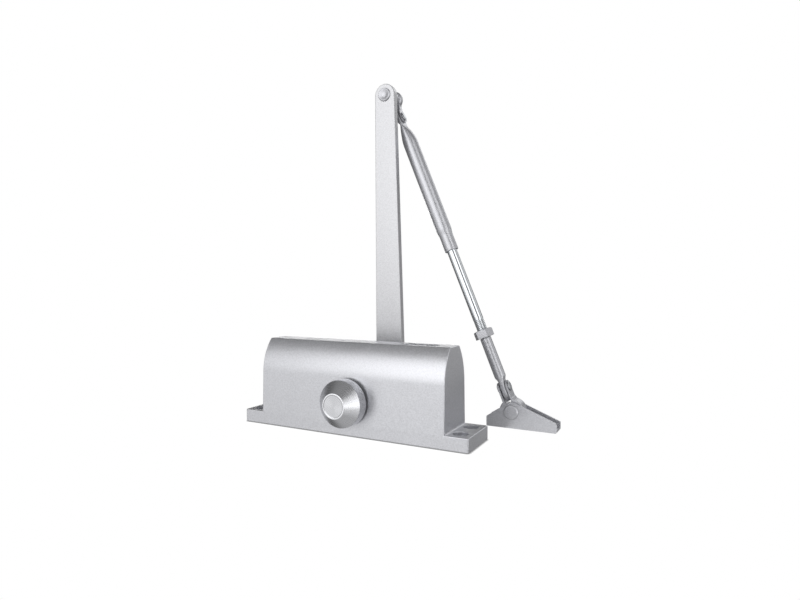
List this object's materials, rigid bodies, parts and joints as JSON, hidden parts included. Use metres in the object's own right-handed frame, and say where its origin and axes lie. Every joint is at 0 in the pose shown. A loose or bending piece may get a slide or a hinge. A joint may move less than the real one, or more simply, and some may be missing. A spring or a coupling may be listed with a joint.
{
  "type": "door closer",
  "caption": "Surface-mounted hydraulic door closer: rack-and-pinion body with a folding arm and a frame shoe, pulls a door shut at a controlled speed.",
  "frame": {"origin": "centre of the body's mounting face, which is screwed to the door leaf", "axes": "+X along the body towards the arm's shoe, +Y along the pinion towards the arm, +Z away from the door"},
  "size_m": [0.2215, 0.1028, 0.2624],
  "materials": {
    "silver_paint": "fine metallic silver paint, satin",
    "zinc_plate": "bright zinc plate",
    "spun_metal": "turned and lacquered, satin",
    "steel": "machined",
    "spring_steel": "blackened, oiled",
    "cast_iron": "machined, oiled",
    "brass": "machined",
    "rubber": "moulded, oiled"
  },
  "bodies": {
    "body": {"closer_body": "silver_paint", "end_plug": "zinc_plate", "end_plug_seal": "rubber", "bearing_nut_front": "steel", "bearing_nut_back": "steel", "pinion_bush_front": "brass", "pinion_bush_back": "brass", "pinion_seal_front": "rubber", "pinion_seal_back": "rubber", "pinion_cap": "spun_metal", "closing_spring": "spring_steel"},
    "piston": {"piston": "cast_iron", "check_ball": "steel", "check_valve_cap": "brass"},
    "arm": {"pinion_shaft": "steel", "main_arm": "silver_paint", "arm_washer": "zinc_plate", "arm_screw": "zinc_plate", "elbow_rivet": "silver_paint"},
    "elbow": {"elbow_link": "silver_paint", "elbow_pin": "zinc_plate"},
    "forearm": {"forearm_tube": "silver_paint", "forearm_rod": "zinc_plate"},
    "nut": {"lock_nut": "silver_paint"},
    "shoe_rod": {"rod_end": "silver_paint"},
    "shoe_fork": {"shoe_link": "silver_paint", "shoe_link_pin": "zinc_plate"},
    "shoe": {"shoe_bracket": "silver_paint", "shoe_rivet": "silver_paint"},
    "latch_screw": {"latch_valve": "zinc_plate", "latch_valve_seal": "rubber"},
    "sweep_screw": {"sweep_valve": "zinc_plate", "sweep_valve_seal": "rubber"},
    "backcheck_screw": {"backcheck_valve": "zinc_plate", "backcheck_valve_seal": "rubber"}
  },
  "joints": [
    {"name": "pinion_turn", "type": "hinge", "parent": "body", "child": "arm", "pos_m": [0.00185, 0, 0.024], "axis": [0, 1, 0], "range_deg": [0, 150], "stiffness_Nm_per_rad": 1.2, "springref_deg": -85.94},
    {"name": "piston_slide", "type": "slide", "parent": "body", "child": "piston", "axis": [-1, 0, 0], "range_m": [0, 0.01964], "deforming": ["closing_spring"]},
    {"name": "elbow_turn", "type": "hinge", "parent": "arm", "child": "elbow", "pos_m": [-0.00184, 0.059, 0.25387], "axis": [0, -1, 0], "range_deg": [-8, 150]},
    {"name": "elbow_tilt", "type": "hinge", "parent": "elbow", "child": "forearm", "pos_m": [0.00422, 0.059, 0.23906], "axis": [-0.9255, 0, -0.3787], "range_deg": [-5, 5]},
    {"name": "lock_nut_turn", "type": "hinge", "parent": "forearm", "child": "nut", "pos_m": [0.07427, 0.059, 0.06784], "axis": [0.3787, 0, -0.9255], "range_deg": [-180, 180]},
    {"name": "length_adjust", "type": "slide", "parent": "forearm", "child": "shoe_rod", "axis": [0.3787, 0, -0.9255], "range_m": [0, 0.008]},
    {"name": "shoe_tilt", "type": "hinge", "parent": "shoe_rod", "child": "shoe_fork", "pos_m": [0.09038, 0.059, 0.02846], "axis": [0.9255, 0, 0.3787], "range_deg": [-8, 8]},
    {"name": "shoe_turn", "type": "hinge", "parent": "shoe_fork", "child": "shoe", "pos_m": [0.0972, 0.059, 0.0118], "axis": [0, 1, 0], "range_deg": [-100, 60]},
    {"name": "latch_valve_turn", "type": "hinge", "parent": "body", "child": "latch_screw", "pos_m": [0.0415, 0, 0.06], "axis": [0, 0, 1], "range_deg": [-180, 180]},
    {"name": "sweep_valve_turn", "type": "hinge", "parent": "body", "child": "sweep_screw", "pos_m": [0.05, 0, 0.06], "axis": [0, 0, 1], "range_deg": [-180, 180]},
    {"name": "backcheck_valve_turn", "type": "hinge", "parent": "body", "child": "backcheck_screw", "pos_m": [0.0585, 0, 0.06], "axis": [0, 0, 1], "range_deg": [-180, 180]}
  ],
  "couplings": [
    {"joint": "piston_slide", "follows": "pinion_turn", "m_per_rad": 0.0075}
  ]
}
